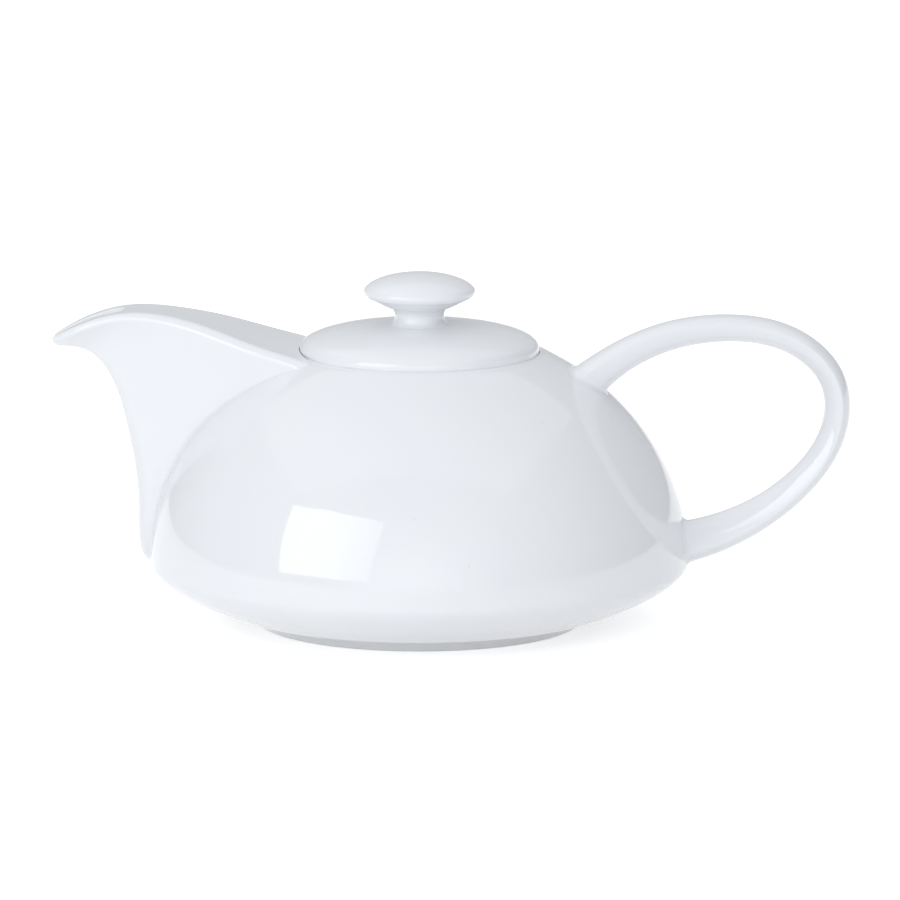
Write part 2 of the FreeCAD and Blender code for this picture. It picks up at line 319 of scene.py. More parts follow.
def turned(name, profile, segments=256):
    """Object turned about the axis from a profile that starts and ends on it."""
    angles = np.arange(segments) * 2 * math.pi / segments
    rings = profile[1:-1]
    vertices = [(0.0, 0.0, profile[0][1]), (0.0, 0.0, profile[-1][1])]
    for radius, height in rings:
        vertices += [(radius * math.cos(a), radius * math.sin(a), height) for a in angles]
    faces = []
    for i in range(segments):
        j = (i + 1) % segments
        first = 2
        last = 2 + (len(rings) - 1) * segments
        faces.append((0, first + j, first + i))
        faces.append((1, last + i, last + j))
        for ring in range(len(rings) - 1):
            low = 2 + ring * segments
            faces.append((low + i, low + j, low + segments + j, low + segments + i))
    return shaded_object(name, vertices, faces)


def pierce(piece, holes, sides=40):
    """Cuts round holes through a piece. Each hole is a centre, a direction, a radius and a length."""
    cutters = bmesh.new()
    for centre, direction, radius, reach in holes:
        turn = Vector((0, 0, 1)).rotation_difference(Vector(direction)).to_matrix().to_4x4()
        turn.translation = Vector(centre)
        bmesh.ops.create_cone(cutters, cap_ends=True, segments=sides, radius1=radius, radius2=radius,
                              depth=reach, matrix=turn)
    mesh = bpy.data.meshes.new("drill")
    cutters.to_mesh(mesh)
    cutters.free()
    drill = bpy.data.objects.new("drill", mesh)
    bpy.context.scene.collection.objects.link(drill)
    cut = piece.modifiers.new("Holes", "BOOLEAN")
    cut.operation = "DIFFERENCE"
    cut.solver = "EXACT"
    cut.object = drill
    whole = piece.data
    piece.data = bpy.data.meshes.new_from_object(piece.evaluated_get(bpy.context.evaluated_depsgraph_get()))
    piece.modifiers.clear()
    bpy.data.meshes.remove(whole)
    bpy.data.objects.remove(drill)
    piece.data.set_sharp_from_angle(angle=DRILLED_CREASE)


class Skin:
    """The pot's outer skin as a fine profile, to measure gaps from it and to put points onto it."""

    def __init__(self, profile):
        run = np.diff(profile, axis=0)
        self.points = (profile[:-1] + profile[1:]) / 2
        self.normals = np.column_stack((run[:, 1], -run[:, 0]))
        self.normals /= np.linalg.norm(self.normals, axis=1)[:, None]

    def read(self, places):
        """Gaps from the skin, nearest points on it and its outward normals there."""
        places = np.atleast_2d(places)
        radius = np.hypot(places[:, 0], places[:, 1])
        flat = np.column_stack((radius, places[:, 2]))
        apart = ((flat[:, None] - self.points[None]) ** 2).sum(axis=2)
        nearest = np.argmin(apart, axis=1)
        normal = self.normals[nearest]
        gap = ((flat - self.points[nearest]) * normal).sum(axis=1)
        foot = flat - normal * gap[:, None]
        outward = places[:, :2] / radius[:, None]
        feet = np.column_stack((outward * foot[:, :1], foot[:, 1]))
        normals = np.column_stack((outward * normal[:, :1], normal[:, 1]))
        return gap, feet, normals


def crossing(gaps, level):
    """Place along a row of gaps where they first fall to a level, as a fractional index."""
    i = int(np.argmax(gaps < level))
    return i - 1 + (gaps[i - 1] - level) / (gaps[i - 1] - gaps[i])


def along(line, place):
    """Point of a line at a fractional index."""
    i = min(int(place), len(line) - 2)
    return lerp(line[i], line[i + 1], place - i)


def land(skin, line, centres, fillet):
    """Fillet that takes a line of points onto the pot's skin: where it starts, and its points."""
    gaps = skin.read(line)[0]
    start = crossing(gaps, fillet)
    hit = crossing(gaps, 0.0)
    corner = along(line, hit)
    normal = skin.read(corner)[2][0]
    away = corner - along(centres, hit)
    away -= normal * (away @ normal)
    away *= fillet / np.linalg.norm(away)
    _, end, end_normal = skin.read(corner + away)
    end = end[0] - end_normal[0] * TUCK
    first = along(line, start)
    return start, bezier([first, lerp(first, corner, 0.7), lerp(corner, end, 0.35), end], FILLET_STEPS + 1)


def stretch(line, start, end, count):
    """Points of a line between two fractional indices."""
    return np.array([along(line, place) for place in np.linspace(start, end, count)])


def bowl(low, high, count):
    """Profile of the pot's underside: nearly flat at the foot, turning up into the belly."""
    shares = ((0.0, 0.0), (0.34, 0.12), (1.0, 0.66), (1.0, 1.0))
    return bezier([(lerp(low[0], high[0], r), lerp(low[1], high[1], h)) for r, h in shares], count)


def pot_skin(pot, lid):
    """The pot's outer skin, ending in an upright wall at the rim so that nothing reaches over the mouth."""
    coarse, fine = 400, 1400
    wall_height = 40 * MM
    foot_top = (pot.foot_radius + pot.foot_flare, pot.foot_height)
    low = bowl(foot_top, (pot.belly_radius, pot.belly_height), coarse)
    rim_radius = lid.radius + 0.4 * lid.clearance
    high = dome(pot.belly_radius, pot.dome_rise, pot.belly_height, pot.belly_radius, rim_radius, fine)
    wall = high[-1] + np.column_stack((np.zeros(coarse), np.linspace(0.0, wall_height, coarse)))
    return Skin(np.concatenate((low, high[1:], wall[1:])))


def pot_height(pot, radius):
    """Height of the pot's dome at a radius."""
    return dome_height(radius, pot.belly_radius, pot.dome_rise, pot.belly_height)


def lid_heights(pot, lid):
    """Heights of the ledge that the lid sits on, of the foot of the lid's dome and of the dome's top."""
    ledge = pot_height(pot, lid.radius + lid.clearance) - pot.seat_depth
    edge = ledge + lid.edge_height + lid.band
    return ledge, edge, edge + lid.rise - lid.band


def finish_piece(piece, node, body, *materials):
    """Gives a piece its materials and its body, and hides the CAD node that it stands for."""
    for material in materials:
        piece.data.materials.append(material)
    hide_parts(node)
    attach(piece, body)


def lay_bare(piece, is_bare):
    """Gives the second material to the faces whose centre and normal pass a test."""
    for face in piece.data.polygons:
        if is_bare(face.center, face.normal):
            face.material_index = 1


def make_pot(pot, lid):
    """Turned pot with a foot ring, a hollow inside, a gallery for the lid and a strainer."""
    seat = lid.radius + lid.clearance
    rim_radius = seat + pot.rim_round
    rim = pot_height(pot, rim_radius)
    ledge = lid_heights(pot, lid)[0]
    throat = seat - pot.ledge_width
    throat_foot = ledge - pot.gallery_thickness
    inner = pot.belly_radius - pot.wall
    inner_rise = pot.dome_rise - pot.wall
    shoulder = inner * math.sqrt(1 - ((throat_foot - pot.belly_height) / inner_rise) ** 2)
    floor = pot.base_recess + pot.floor_thickness
    ring = pot.foot_radius - pot.foot_ring_width
    foot_top = (pot.foot_radius + pot.foot_flare, pot.foot_height)
    floor_edge = (pot.foot_radius - pot.foot_ring_width / 2, floor)
    outside = bowl(foot_top, (pot.belly_radius, pot.belly_height), count=40)
    upper = dome(pot.belly_radius, pot.dome_rise, pot.belly_height, pot.belly_radius, rim_radius, count=72)
    inside = dome(inner, inner_rise, pot.belly_height, shoulder, inner, count=48)
    under = bowl(floor_edge, (inner, pot.belly_height), count=24)[::-1]
    lip = lid.radius + 0.14 * lid.clearance
    recess_round, ring_round, foot_round = 1.2 * MM, 0.7 * MM, 0.8 * MM
    lip_round, seat_round, ledge_round, throat_round = 0.4 * MM, 0.6 * MM, 0.8 * MM, 1.2 * MM
    corners = [(0.0, pot.base_recess, 0.0), (ring - pot.base_recess, pot.base_recess, recess_round)]
    corners += [(ring, 0.0, ring_round), (pot.foot_radius, 0.0, foot_round), (*foot_top, foot_round)]
    corners += plain(outside[2:]) + plain(upper[1:-1])
    corners += [(lip, rim + 0.15 * pot.rim_round, lip_round), (seat, ledge, seat_round)]
    corners += [(throat, ledge, ledge_round), (throat, throat_foot, throat_round)]
    corners += plain(inside) + plain(under[1:]) + [(0.0, floor, 0.0)]
    piece = turned("glazed_pot", soften(corners))

    climb = (pot.hole_height - pot.belly_height) / pot.dome_rise
    radius = pot.belly_radius * math.sqrt(1 - climb ** 2)
    outward = Vector((-radius / pot.belly_radius ** 2, 0, climb / pot.dome_rise)).normalized()
    slope = Vector((outward.z, 0, -outward.x))
    middle = Vector((-radius, 0, pot.hole_height))
    places = [middle]
    ring_holes = 6
    for i in range(ring_holes):
        angle = math.radians(360 / ring_holes * i)
        across = Vector((0, math.cos(angle), 0))
        places.append(middle + (across + slope * math.sin(angle)) * pot.hole_pitch)
    pierce(piece, [(place, outward, pot.hole_radius, 4 * pot.wall) for place in places])
    return piece


def make_lid(pot, lid):
    """Domed lid with a collar that hangs into the mouth and a small air hole."""
    ledge, edge, top = lid_heights(pot, lid)
    flange = lid.radius - pot.ledge_width
    flange_inside = flange - lid.flange_wall
    hollow_half = lid.radius - lid.flange_wall
    hollow_foot = top - lid.thickness - lid.hollow_rise
    flange_foot = ledge - lid.flange_depth
    near_axis = 1 * MM
    hollow_round, flange_round, root_round = 1.5 * MM, 1.0 * MM, 0.5 * MM
    hollow = dome(hollow_half, lid.hollow_rise, hollow_foot, flange_inside, near_axis, count=20)[::-1]
    upper = dome(lid.radius, lid.rise - lid.band, edge, lid.radius, near_axis,
                 count=64, fullness=lid.fullness)
    corners = [(0.0, top - lid.thickness, 0.0)] + plain(hollow[:-1])
    corners += [(*hollow[-1], hollow_round), (flange_inside, flange_foot, flange_round)]
    corners += [(flange, flange_foot, flange_round), (flange, ledge, root_round)]
    corners += [(lid.radius, ledge, lid.edge_round)]
    corners += plain(upper) + [(0.0, top, 0.0)]
    piece = turned("glazed_lid", soften(corners))
    vent = (0.0, lid.vent_offset, edge + lid.rise / 2)
    pierce(piece, [(vent, (0, 0, 1), lid.vent_radius, 4 * lid.rise)], sides=24)
    return piece


# A short straight stem, a tight curve under the cap, then a straight flare out to its edge. Each row
# gives how far out, as a share of the way from the stem's radius to the cap's, and how high, as a
# share of the way from the lid to the cap's edge.
KNOB_FLARE = ((0.0, 0.31), (0.045, 0.43), (0.20, 0.515), (0.49, 0.64), (0.82, 0.80), (0.965, 0.90))


def make_knob(pot, lid):
    """Mushroom knob: a waisted stem that flares into a thin-edged cap, filleted onto the lid."""
    _, edge, lid_top = lid_heights(pot, lid)
    cap_edge = lid.knob_top - lid.knob_cap_rise

    def on_lid(radius):
        return radius, dome_height(radius, lid.radius, lid.rise - lid.band, edge, lid.fullness)

    def pole(radius, share):
        return radius, lerp(lid_top, cap_edge, share)

    bends = np.array([
        on_lid(lid.knob_base_radius),
        pole(1.01 * lid.knob_stem_radius, 0.16),
        *(pole(lerp(lid.knob_stem_radius, lid.knob_radius, out), up) for out, up in KNOB_FLARE),
        pole(lid.knob_radius, 1.0),
    ])
    knots = lengths_along(bends)
    stem = spline(knots, bends, np.linspace(0, knots[-1], 80))
    cap = bezier([
        pole(lid.knob_radius, 1.0),
        (lid.knob_radius, cap_edge + 0.4 * lid.knob_cap_rise),
        (0.6 * lid.knob_radius, lid.knob_top),
        (0.0, lid.knob_top),
    ], count=48)
    fillet = lid.knob_fillet
    begin = int(np.argmax(np.linalg.norm(stem - stem[0], axis=1) > fillet))
    skirt_end = np.array(on_lid(lid.knob_base_radius + fillet))
    skirt_end[1] -= TUCK
    skirt = bezier([
        skirt_end,
        lerp(skirt_end, stem[0], 0.65),
        lerp(stem[0], stem[begin], 0.3),
        stem[begin],
    ], count=10)
    # The underside lies hidden in the lid's dome
    middle_depth, edge_depth, edge_inset = 1.2 * MM, 0.6 * MM, 1 * MM
    sunk = np.array([(0.0, lid_top - middle_depth), (skirt_end[0] - edge_inset, skirt_end[1] - edge_depth)])
    profile = np.concatenate((sunk, skirt, stem[begin + 1:], cap[1:]))
    return turned("glazed_knob", profile)


# The spout's sections run from its keel to its roof. Each row gives, as shares of the named
# sizes: how far out and how high the keel is, how far out and how high the roof is, the
# roof's half width, the rounding of the keel and of the roof's edges; then how far the side
# wall bows in, in radians, and the thickness of the keel and of the roof as shares of the wall.
SPOUT_SECTIONS = (
    (-0.08, -0.06, -1.15, -0.110, 0.91, 1.0, 0.80, 0.22, 1.0, 0.6),
    (0.11, 0.04, -0.90, 0.150, 0.84, 1.0, 0.80, 0.22, 1.0, 0.6),
    (0.137, 0.27, -0.70, 0.370, 0.775, 0.89, 0.80, 0.20, 1.0, 0.7),
    (0.226, 0.58, -0.43, 0.685, 0.610, 0.72, 0.80, 0.14, 1.0, 1.0),
    (0.372, 0.82, -0.12, 0.930, 0.440, 0.56, 0.76, 0.09, 1.0, 1.2),
    (0.57, 0.953, 0.31, 0.945, 0.385, 0.38, 0.68, 0.05, 0.85, 1.1),
    (0.78, 0.993, 0.74, 0.595, 0.32, 0.26, 0.52, 0.03, 0.6, 0.6),
    (0.957, 0.998, 0.975, 0.27, 0.18, 0.16, 0.32, 0.03, 0.32, 0.32),
)
KEEL_STEPS, SIDE_STEPS, EDGE_STEPS, ROOF_STEPS = 8, 18, 10, 12
ROOT_STEPS = 31

# Limits for the narrow sections near the tip, and the rounding of the gutter's lip
LEAST_KEEL_ROUND = 0.8 * MM
LEAST_ROOF = 0.2 * MM
LIP_BEAD = 0.5 * MM
LIP_BULGE = 1.1 * MM

# A point nearer to the middle plane than this lies on it
ON_PLANE = 1e-7


def spout_values(pot, lid, spout):
    """The sections' table in metres, with each section's place along the spout."""
    seat = lid.radius + lid.clearance
    rim = pot_height(pot, seat)
    rows = []
    for section in SPOUT_SECTIONS:
        keel_out, keel_up, roof_out, roof_up, breadth, keel_round, edge_round, bow, wall, deck = section
        roof_x = pot.belly_radius + spout.reach * roof_out
        if roof_out < 0:
            roof_x = lerp(pot.belly_radius, seat, -roof_out)
        rows.append((
            -(pot.belly_radius + spout.reach * keel_out), lerp(pot.belly_height, rim, keel_up),
            -roof_x, rim + spout.crown * roof_up,
            spout.half_width * breadth, spout.keel_round * keel_round, spout.edge_round * edge_round,
            bow, spout.wall * wall, spout.wall * deck,
        ))
    values = np.array(rows)
    middles = (values[:, 0:2] + values[:, 2:4]) / 2
    return lengths_along(middles), values


def half_section(row, inside, slot):
    """Half of one section, from the middle of the keel round to the roof's middle or its slot."""
    keel_x, keel_z, roof_x, roof_z, half, keel_round, edge_round, bow, wall, deck = row
    keel = np.array((keel_x, 0.0, keel_z))
    up = np.array((roof_x, 0.0, roof_z)) - keel
    tall = np.linalg.norm(up)
    up /= tall
    if inside:
        keel = keel + up * wall
        half = half * (tall - deck) / tall - 0.8 * wall
        tall -= wall + deck
        keel_round -= wall
    edge_round = min(edge_round, 0.3 * tall, 0.4 * half)
    keel_round = min(max(keel_round, LEAST_KEEL_ROUND), 0.4 * tall)
    rise = tall - edge_round - keel_round
    spread = half - edge_round
    lean = math.atan2(spread, rise) + math.asin((edge_round - keel_round) / math.hypot(rise, spread))

    turn = np.linspace(0, math.pi / 2 - (lean - bow), KEEL_STEPS)
    keel_arc = np.column_stack((keel_round * (1 - np.cos(turn)), keel_round * np.sin(turn)))
    turn = np.linspace(lean + bow, -math.pi / 2, EDGE_STEPS)
    edge_arc = np.column_stack((
        tall - edge_round * (1 + np.sin(turn)),
        half - edge_round * (1 - np.cos(turn)),
    ))
    low, high = keel_arc[-1], edge_arc[0]
    sag = np.linalg.norm(high - low) * math.tan(bow / 2)
    middle = (low + high) / 2 + sag * np.array((math.sin(lean), -math.cos(lean)))
    side = bezier([low, middle, high], SIDE_STEPS)
    slot = min(slot, edge_arc[-1][1] - LEAST_ROOF)
    roof = np.column_stack((np.full(ROOF_STEPS, tall), np.linspace(edge_arc[-1][1], slot, ROOF_STEPS)))
    flat = np.concatenate((keel_arc, side[1:-1], edge_arc, roof[1:]))
    return keel + flat[:, :1] * up + flat[:, 1:] * np.array((0.0, 1.0, 0.0))


def quads(grid, flip=False):
    """Four-sided faces over a grid of vertex numbers."""
    faces = []
    for upper, lower in zip(grid[:-1], grid[1:]):
        for i in range(len(upper) - 1):
            face = (upper[i], upper[i + 1], lower[i + 1], lower[i])
            faces.append(face[::-1] if flip else face)
    return faces


def lip_points(outer, inner, path, rear, gutter, forward):
    """Rows of points that round the lip from the outer skin over to the inner one, along a path."""
    last = outer.shape[1] - 1
    band = []
    for r, c in path:
        a, b = outer[r, c], inner[r, c]
        if c == last and r > 0:
            ahead = (rear - a[0]) / gutter if a[0] > rear else 0.0
            lead = -forward * ahead - np.array((0.0, math.sqrt(max(1 - ahead ** 2, 0.0)), 0.0))
            leads = (lead, lead)
        else:
            leads = [grid[0, c] - grid[1, c] for grid in (outer, inner)]
            leads = [lead / np.linalg.norm(lead) for lead in leads]
        bulge = min(0.55 * np.linalg.norm(a - b), LIP_BULGE)
        band.append(bezier([a, a + leads[0] * bulge, b + leads[1] * bulge, b], count=7)[1:-1])
    return np.array(band)


def mirrored(vertices, faces):
    """Vertices and faces of a half shape with its mirror image, sharing the points on the middle plane."""
    half = np.array(vertices)
    on_plane = np.abs(half[:, 1]) < ON_PLANE
    half[on_plane, 1] = 0.0
    twin = np.where(on_plane, np.arange(len(half)), 0)
    twin[~on_plane] = len(half) + np.arange((~on_plane).sum())
    other = half[~on_plane] * (1, -1, 1)
    faces = [tuple(int(v) for v in face) for face in faces]
    faces += [tuple(int(twin[v]) for v in face[::-1]) for face in faces]
    return np.concatenate((half, other)), faces


def make_spout(pot, lid, spout):
    """Beak spout with a hollow channel, an open gutter at its tip and a fillet onto the pot."""
    skin = pot_skin(pot, lid)
    knots, values = spout_values(pot, lid, spout)
    tip = knots[-1]
    # Behind this place along the spout, its lines run down onto the pot's skin
    clear = lerp(knots[2], knots[3], 0.6)
    # Centre of the gutter's round rear end
    rear = -(pot.belly_radius + spout.gutter_start)
    gutter = spout.gutter_half_width

    fine = np.linspace(0, tip, 600)
    roof_x = spline(knots, values, fine)[:, 2]

    def place_of(x):
        """Place along the spout where the roof's middle line is this far out."""
        return np.interp(-x, -roof_x, fine)

    def slot_at(x):
        """Half the width at which the roof ends there and the gutter's lip begins."""
        if x > rear:
            return math.sqrt(max(gutter ** 2 - (x - rear) ** 2, 0.0)) * (1 + LIP_BEAD / gutter)
        share = (x - rear) / (roof_x[-1] - rear)
        return lerp(gutter, spout.lip_half_width, share) + LIP_BEAD * (1 - 0.5 * share)

    round_end = rear + gutter * np.sin(np.radians(np.linspace(10, 90, 9)))
    open_places = np.concatenate((np.linspace(tip, place_of(rear), 30), place_of(round_end)))
    places = np.concatenate((open_places, np.linspace(open_places[-1], clear, 26)[1:]))
    rear_row = len(open_places) - 1
    rows = spline(knots, values, places)
    slots = [slot_at(row[2]) if i < rear_row else 0.0 for i, row in enumerate(rows)]
    hidden = spline(knots, values, np.linspace(clear, 0.0, 240))
    centres = np.column_stack((
        (hidden[:, 0] + hidden[:, 2]) / 2,
        0 * hidden[:, 0],
        (hidden[:, 1] + hidden[:, 3]) / 2,
    ))

    def skin_grid(inside):
        """Rows of points of the outer or the inner skin, from the tip to the pot."""
        shown = np.array([half_section(row, inside, slot) for row, slot in zip(rows, slots)])
        lines = np.array([half_section(row, inside, 0.0) for row in hidden])
        columns = shown.shape[1]
        ends = []
        for c in range(columns):
            roofward = np.clip((c - KEEL_STEPS - SIDE_STEPS - 2) / EDGE_STEPS, 0.0, 1.0)
            fillet = lerp(spout.root_fillet, spout.roof_fillet, roofward)
            if inside:
                end = crossing(skin.read(lines[:, c])[0], -TUCK)
                ends.append(stretch(lines[:, c], 0.0, end, ROOT_STEPS)[1:])
            else:
                start, curve = land(skin, lines[:, c], centres, fillet)
                ends.append(np.concatenate((stretch(lines[:, c], 0.0, start, ROOT_STEPS)[1:-1], curve)))
        return np.concatenate((shown, np.stack(ends, axis=1)))

    outer = skin_grid(False)
    inner = skin_grid(True)
    columns = outer.shape[1]
    vertices = []

    def number(grid):
        """Adds a grid's points to the vertices and gives their numbers."""
        first = len(vertices)
        vertices.extend(grid.reshape(-1, 3))
        return first + np.arange(grid.shape[0] * grid.shape[1]).reshape(grid.shape[:2])

    outer_numbers = number(outer)
    inner_numbers = number(inner)
    faces = quads(outer_numbers) + quads(inner_numbers, flip=True)
    faces += quads(np.stack((outer_numbers[-1], inner_numbers[-1])))

    # The lip runs from the gutter's rear end along its edge to the tip and under to the keel
    path = [(r, columns - 1) for r in range(rear_row, -1, -1)] + [(0, c) for c in range(columns - 2, -1, -1)]
    forward = np.array((roof_x[-1] - rear, 0.0, values[-1][3] - values[-3][3]))
    forward /= np.linalg.norm(forward)
    band_numbers = number(lip_points(outer, inner, path, rear, gutter, forward))
    starts = np.array([outer_numbers[r, c] for r, c in path])
    stops = np.array([inner_numbers[r, c] for r, c in path])
    faces += quads(np.column_stack((starts, band_numbers, stops)))

    piece = shaded_object("glazed_spout", *mirrored(vertices, faces))
    piece.data.set_sharp_from_angle(angle=FORMED_CREASE)
    return piece


# The handle's loop from its upper root to its lower one. Each row gives how far out and how
# high it is, as shares of the reach and of the height between the roots, then its thickness
# and its width as shares of the named ones.
HANDLE_STATIONS = (
    (-0.75, 0.70, 1.55, 1.28),
    (-0.53, 0.822, 1.27, 1.12),
    (-0.18, 0.945, 1.11, 1.03),
    (0.28, 0.997, 1.02, 1.0),
    (0.72, 0.937, 0.98, 1.0),
    (0.99, 0.75, 0.97, 1.0),
    (0.995, 0.53, 1.0, 1.0),
    (0.763, 0.279, 1.11, 1.02),
    (0.363, 0.083, 1.34, 1.08),
    (0.004, -0.006, 1.58, 1.18),
    (-0.22, -0.035, 1.70, 1.24),
)


def make_handle(pot, lid, handle):
    """Loop handle, low-crowned outside and deep inside, filleted onto the pot at both roots."""
    skin = pot_skin(pot, lid)
    top = pot.belly_height + pot.dome_rise + handle.lift
    stations = np.array([
        (pot.belly_radius + handle.reach * out, lerp(handle.foot_height, top, up),
         handle.thickness * thick, handle.width * wide)
        for out, up, thick, wide in HANDLE_STATIONS
    ])
    knots = lengths_along(stations[:, :2])
    path = spline(knots, stations, np.linspace(0, knots[-1], 500))
    run = np.gradient(path[:, :2], axis=0)
    run /= np.linalg.norm(run, axis=1)[:, None]
    sideways = np.column_stack((-run[:, 1], run[:, 0]))
    centres = np.column_stack((path[:, 0], 0 * path[:, 0], path[:, 1]))
    columns = 56
    lines = []
    for c in range(columns):
        angle = 2 * math.pi * c / columns
        depth = handle.crest if math.cos(angle) > 0 else 1 - handle.crest
        bulge = math.copysign(abs(math.cos(angle)) ** handle.edge, math.cos(angle)) * depth
        outward = (0.5 - handle.crest + bulge) * path[:, 2]
        across = math.sin(angle) * path[:, 3] / 2
        lines.append(np.column_stack((path[:, 0] + sideways[:, 0] * outward, across,
                                      path[:, 1] + sideways[:, 1] * outward)))
    middle = len(path) // 2
    grid = []
    for line in lines:
        low_start, low_curve = land(skin, line[middle:], centres[middle:], handle.root_fillet)
        high_start, high_curve = land(skin, line[middle::-1], centres[middle::-1], handle.root_fillet)
        body = stretch(line, middle - high_start, middle + low_start, count=121)
        grid.append(np.concatenate((high_curve[::-1], body[1:-1], low_curve)))
    grid = np.stack(grid, axis=1)
    rows = grid.shape[0]
    vertices = list(grid.reshape(-1, 3))
    numbers = np.arange(rows * columns).reshape(rows, columns)
    faces = quads(np.column_stack((numbers, numbers[:, 0])))
    for ring in (0, rows - 1):
        hub = skin.read(grid[ring].mean(axis=0))
        vertices.append(hub[1][0] - hub[2][0] * MM)
        hub_number = len(vertices) - 1
        for c in range(columns):
            faces.append((numbers[ring, c], numbers[ring, (c + 1) % columns], hub_number))
    piece = shaded_object("glazed_handle", vertices, [tuple(int(v) for v in face) for face in faces])
    piece.data.set_sharp_from_angle(angle=FORMED_CREASE)
    return piece


def add(nodes, kind, inputs=None, **settings):
    """Adds a shader node with its settings, and links or sets its inputs."""
    node = nodes.new(kind)
    for name, value in settings.items():
        setattr(node, name, value)
    for name, value in (inputs or {}).items():
        if isinstance(value, bpy.types.NodeSocket):
            node.id_data.links.new(value, node.inputs[name])
        else:
            node.inputs[name].default_value = value
    return node


def empty_material(name):
    """New material without nodes, and the list to add its nodes to."""
    material = bpy.data.materials.new(name)
    material.use_nodes = True
    nodes = material.node_tree.nodes
    nodes.clear()
    return material, nodes


def glazed_porcelain(look):
    """Hard-paste porcelain under a clear fired glaze: a bright, slightly cool white, wet-looking
    highlights with a faint ripple where the glaze set, a few small iron specks."""
    material = bpy.data.materials.get("Glazed porcelain")
    if material:
        return material
    material, nodes = empty_material("Glazed porcelain")
    where = add(nodes, "ShaderNodeTexCoord").outputs["Object"]

    # Glaze lies unevenly over a few centimetres
    pool_size = 40 * MM
    pools = add(nodes, "ShaderNodeTexNoise", {"Vector": where, "Scale": 1 / pool_size, "Detail": 2.0})
    tone = add(nodes, "ShaderNodeMix", {
        "Factor": pools.outputs["Fac"], "A": (*look.glaze, 1), "B": (*look.pooled, 1),
    }, data_type="RGBA")

    # About a third of the places hold a speck, and few of those lie at the surface, where they show
    speck_threshold = 0.6
    cells = add(nodes, "ShaderNodeTexVoronoi", {"Vector": where, "Scale": 1 / look.speck_spacing})
    near = add(nodes, "ShaderNodeMapRange", {
        "Value": cells.outputs["Distance"],
        "From Min": 0.5 * look.speck_radius / look.speck_spacing,
        "From Max": look.speck_radius / look.speck_spacing,
        "To Min": 1.0, "To Max": 0.0,
    })
    chosen = add(nodes, "ShaderNodeMath", {0: cells.outputs["Color"], 1: speck_threshold},
                 operation="GREATER_THAN")
    speck = add(nodes, "ShaderNodeMath", {0: near.outputs["Result"], 1: chosen.outputs[0]},
                operation="MULTIPLY")
    paint = add(nodes, "ShaderNodeMix", {
        "Factor": speck.outputs[0], "A": tone.outputs["Result"], "B": (*look.speck, 1),
    }, data_type="RGBA")

    ripple = add(nodes, "ShaderNodeTexNoise", {"Vector": where, "Scale": 1 / look.ripple, "Detail": 1.0})
    bump = add(nodes, "ShaderNodeBump", {
        "Height": ripple.outputs["Fac"], "Strength": 1.0, "Distance": look.ripple_depth,
    })
    shader = add(nodes, "ShaderNodeBsdfPrincipled", {
        "Base Color": paint.outputs["Result"], "Roughness": look.roughness, "IOR": GLAZE_IOR,
        "Normal": bump.outputs["Normal"],
    })
    add(nodes, "ShaderNodeOutputMaterial", {"Surface": shader.outputs[0]})
    return material


def bare_biscuit(look):
    """Unglazed porcelain, ground flat where it stands: a warmer, chalky white with a fine grain."""
    material = bpy.data.materials.get("Bare porcelain biscuit")
    if material:
        return material
    material, nodes = empty_material("Bare porcelain biscuit")
    where = add(nodes, "ShaderNodeTexCoord").outputs["Object"]
    # Grain is drawn at 0.6 mm, coarser than the real one, so that it shows
    grain_size, grain_depth = 0.6 * MM, 0.05 * MM
    darker = tuple(0.9 * c for c in look.biscuit)
    grain = add(nodes, "ShaderNodeTexNoise", {"Vector": where, "Scale": 1 / grain_size, "Detail": 3.0})
    tone = add(nodes, "ShaderNodeMix", {
        "Factor": grain.outputs["Fac"], "A": (*look.biscuit, 1), "B": (*darker, 1),
    }, data_type="RGBA")
    bump = add(nodes, "ShaderNodeBump", {
        "Height": grain.outputs["Fac"], "Strength": 0.6, "Distance": grain_depth,
    })
    shader = add(nodes, "ShaderNodeBsdfPrincipled", {
        "Base Color": tone.outputs["Result"], "Roughness": 0.75, "IOR": BISCUIT_IOR,
        "Normal": bump.outputs["Normal"],
    })
    add(nodes, "ShaderNodeOutputMaterial", {"Surface": shader.outputs[0]})
    return material


class TEAPOT_OT_pot(Operator):
    """Turn the pot with its foot, gallery and strainer"""

    bl_idname = "teapot.pot"
    bl_label = "Pot"

    def execute(self, context):
        scene = context.scene
        piece = make_pot(scene.teapot_pot, scene.teapot_lid)
        look = scene.teapot_look
        finish_piece(piece, "pot_body", "pot", glazed_porcelain(look), bare_biscuit(look))
        ground = 0.25 * MM
        lay_bare(piece, lambda centre, normal: centre.z < ground and normal.z < -0.9)
        return {"FINISHED"}


class TEAPOT_OT_spout(Operator):
    """Form the spout and its pouring gutter"""

    bl_idname = "teapot.spout"
    bl_label = "Spout"

    def execute(self, context):
        scene = context.scene
        piece = make_spout(scene.teapot_pot, scene.teapot_lid, scene.teapot_spout)
        finish_piece(piece, "spout", "pot", glazed_porcelain(scene.teapot_look))
        return {"FINISHED"}


class TEAPOT_OT_handle(Operator):
    """Form the loop handle"""

    bl_idname = "teapot.handle"
    bl_label = "Handle"

    def execute(self, context):
        scene = context.scene
        piece = make_handle(scene.teapot_pot, scene.teapot_lid, scene.teapot_handle)
        finish_piece(piece, "handle", "pot", glazed_porcelain(scene.teapot_look))
        return {"FINISHED"}


class TEAPOT_OT_lid(Operator):
    """Turn the lid with its collar and air hole"""

    bl_idname = "teapot.lid"
    bl_label = "Lid"

    def execute(self, context):
        scene = context.scene
        pot, lid, look = scene.teapot_pot, scene.teapot_lid, scene.teapot_look
        piece = make_lid(pot, lid)
        finish_piece(piece, "lid", "lid_assembly", glazed_porcelain(look), bare_biscuit(look))
        wiped = 0.3 * MM
        seat = lid_heights(pot, lid)[0] + wiped
        lay_bare(piece, lambda centre, normal: centre.z < seat and normal.z < -0.8)
        return {"FINISHED"}


